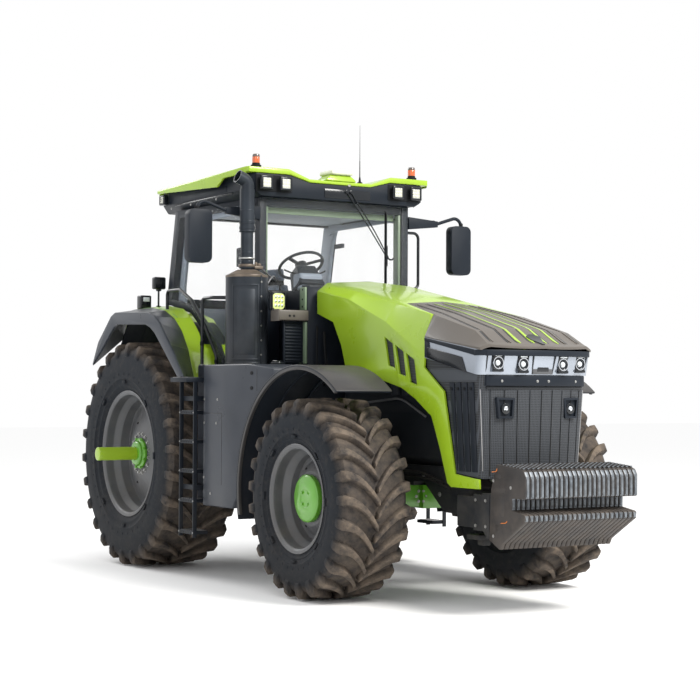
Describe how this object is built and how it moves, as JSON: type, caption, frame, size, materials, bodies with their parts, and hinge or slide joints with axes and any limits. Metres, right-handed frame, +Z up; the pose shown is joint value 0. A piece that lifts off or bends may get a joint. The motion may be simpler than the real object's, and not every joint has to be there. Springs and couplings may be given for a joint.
{
  "type": "farm tractor",
  "caption": "Four-wheel-drive row-crop farm tractor: lugged tyres, sloping louvred hood, glazed cab, front weights and a three-point rear hitch.",
  "frame": {"origin": "centre of the tractor's outline on the ground under the tyres", "axes": "+X to the tractor's left, +Y to its rear, +Z up; it faces -Y"},
  "size_m": [3.142, 6.0599, 3.8795],
  "materials": {
    "lime": "gloss lime-green paint",
    "hub_green": "deep green paint",
    "tan": "matt warm grey paint",
    "rim_grey": "light grey paint",
    "dark_iron": "dark grey paint on castings",
    "dark_plastic": "grained dark blue-grey plastic",
    "roof_plastic": "gloss lime moulding",
    "lamp_band": "clear lenses over silver reflectors",
    "grille": "black mesh",
    "tyre": "matt black rubber",
    "steel": "worn machined steel",
    "exhaust": "heat-proof dark paint",
    "glass": "clear, faint green tint",
    "seat": "woven blue-grey cloth",
    "amber": "amber lens on a black base",
    "lamp": "clear lens in a black case"
  },
  "bodies": {
    "chassis": {"armrest_and_monitor": "dark_plastic", "beacons": "amber", "cab_frame": "dark_plastic", "cab_glass": "glass", "cooling_pack": "dark_iron", "cowl": "dark_plastic", "drawbar_and_pivots": "steel", "engine_block": "dark_iron", "exhaust_can": "exhaust", "exhaust_stack": "exhaust", "fender_flares": "dark_plastic", "fender_lamps": "lamp", "front_axle": "hub_green", "front_fenders": "dark_plastic", "front_frame": "dark_iron", "front_weights": "tan", "handrails": "dark_plastic", "ladders": "dark_plastic", "mirrors": "dark_plastic", "rear_fenders": "lime", "receiver_and_antenna": "roof_plastic", "remote_valves": "dark_iron", "roof_shell": "roof_plastic", "roof_valance": "dark_plastic", "roof_work_lamps": "lamp", "seat": "seat", "side_lamps": "lamp", "side_tanks": "dark_plastic", "steering_console": "dark_plastic", "steering_wheel": "dark_plastic", "transaxle": "dark_iron", "weight_carrier": "dark_iron"},
    "wheel_front_right": {"tyre_front_right": "tyre", "rim_front_right": "rim_grey", "hub_front_right": "hub_green"},
    "wheel_front_left": {"tyre_front_left": "tyre", "rim_front_left": "rim_grey", "hub_front_left": "hub_green"},
    "wheel_rear_right": {"tyre_rear_right": "tyre", "rim_rear_right": "rim_grey", "hub_rear_right": "hub_green", "bar_axle_right": "hub_green"},
    "wheel_rear_left": {"tyre_rear_left": "tyre", "rim_rear_left": "rim_grey", "hub_rear_left": "hub_green", "bar_axle_left": "hub_green"},
    "knuckle_right": {"knuckle_right": "hub_green"},
    "knuckle_left": {"knuckle_left": "hub_green"},
    "hood": {"hood_shell": "lime", "hood_louvres": "grille", "hood_insert": "tan", "headlamp_band": "lamp_band", "nose_grille": "grille"},
    "door_left": {"door_glass_left": "glass", "door_fittings_left": "dark_plastic"},
    "lift_arms": {"lift_arms": "steel"},
    "lift_rods": {"lift_rods": "dark_iron"},
    "lower_links": {"lower_links": "steel"}
  },
  "joints": [
    {"name": "steer_right", "type": "hinge", "parent": "chassis", "child": "knuckle_right", "pos_m": [-0.75, -1.164, 0.758], "axis": [0, 0, 1], "range_deg": [-35, 35]},
    {"name": "steer_left", "type": "hinge", "parent": "chassis", "child": "knuckle_left", "pos_m": [0.75, -1.164, 0.758], "axis": [0, 0, 1], "range_deg": [-35, 35]},
    {"name": "wheel_front_right_spin", "type": "hinge", "parent": "knuckle_right", "child": "wheel_front_right", "pos_m": [-0.957, -1.164, 0.758], "axis": [1, 0, 0], "continuous": true},
    {"name": "wheel_front_left_spin", "type": "hinge", "parent": "knuckle_left", "child": "wheel_front_left", "pos_m": [0.957, -1.164, 0.758], "axis": [1, 0, 0], "continuous": true},
    {"name": "wheel_rear_right_spin", "type": "hinge", "parent": "chassis", "child": "wheel_rear_right", "pos_m": [-0.98, 1.8, 1.003], "axis": [1, 0, 0], "continuous": true},
    {"name": "wheel_rear_left_spin", "type": "hinge", "parent": "chassis", "child": "wheel_rear_left", "pos_m": [0.98, 1.8, 1.003], "axis": [1, 0, 0], "continuous": true},
    {"name": "hood_lid", "type": "hinge", "parent": "chassis", "child": "hood", "pos_m": [0, -0.3, 2.4], "axis": [-1, 0, 0], "range_deg": [0, 45]},
    {"name": "door_left_swing", "type": "hinge", "parent": "chassis", "child": "door_left", "pos_m": [0.86956, 1.84607, 2.76], "axis": [0, 0, 1], "range_deg": [0, 75]},
    {"name": "hitch_lift", "type": "hinge", "parent": "chassis", "child": "lower_links", "pos_m": [0, 1.99, 0.56], "axis": [1, 0, 0], "range_deg": [-10, 20]},
    {"name": "lift_arms_turn", "type": "hinge", "parent": "chassis", "child": "lift_arms", "pos_m": [0, 2.23, 1.25], "axis": [1, 0, 0], "range_deg": [-16, 32]},
    {"name": "lift_rods_swing", "type": "hinge", "parent": "lift_arms", "child": "lift_rods", "pos_m": [0, 2.63, 1.29], "axis": [1, 0, 0], "range_deg": [-29.6, 14.8]}
  ],
  "couplings": [
    {"joint": "steer_left", "follows": "steer_right", "ratio": 1},
    {"joint": "lift_arms_turn", "follows": "hitch_lift", "ratio": 1.6},
    {"joint": "lift_rods_swing", "follows": "hitch_lift", "ratio": -1.48}
  ]
}
